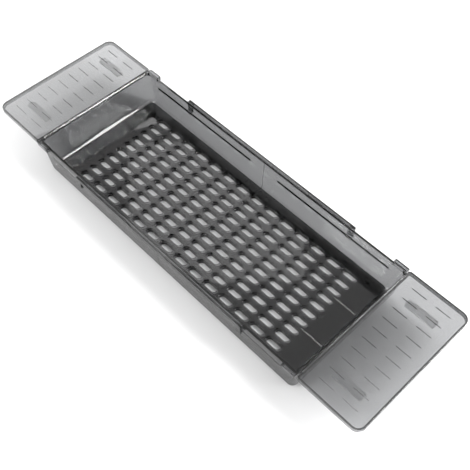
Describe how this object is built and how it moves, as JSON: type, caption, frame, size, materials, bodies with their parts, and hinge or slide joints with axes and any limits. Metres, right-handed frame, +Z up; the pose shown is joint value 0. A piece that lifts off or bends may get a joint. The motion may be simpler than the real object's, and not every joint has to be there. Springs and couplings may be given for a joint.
{
  "type": "extending bath caddy",
  "caption": "Shallow smoke-grey tray with a slotted drain plate and flat end wings that lie on the bath rim; two half trays slide outwards along side rails, under the plate.",
  "frame": {"origin": "middle of the closed caddy, on the surface that its feet stand on", "axes": "+X along the caddy towards the right wing, +Y towards the back, +Z up"},
  "size_m": [0.6238, 0.19, 0.0528],
  "materials": {
    "smoke_plastic": "translucent smoke grey, polished mould surface",
    "rubber_pad": "pale grey, matt, soft, lets some light through"
  },
  "bodies": {
    "middle": {"drain_plate": "smoke_plastic", "front_rail": "smoke_plastic", "back_rail": "smoke_plastic"},
    "left_half": {"left_half_tray": "smoke_plastic", "left_front_pad": "rubber_pad", "left_back_pad": "rubber_pad"},
    "right_half": {"right_half_tray": "smoke_plastic", "right_front_pad": "rubber_pad", "right_back_pad": "rubber_pad"}
  },
  "joints": [
    {"name": "left_slide", "type": "slide", "parent": "middle", "child": "left_half", "axis": [-1, 0, 0], "range_m": [0, 0.112]},
    {"name": "right_slide", "type": "slide", "parent": "middle", "child": "right_half", "axis": [1, 0, 0], "range_m": [0, 0.112]}
  ]
}
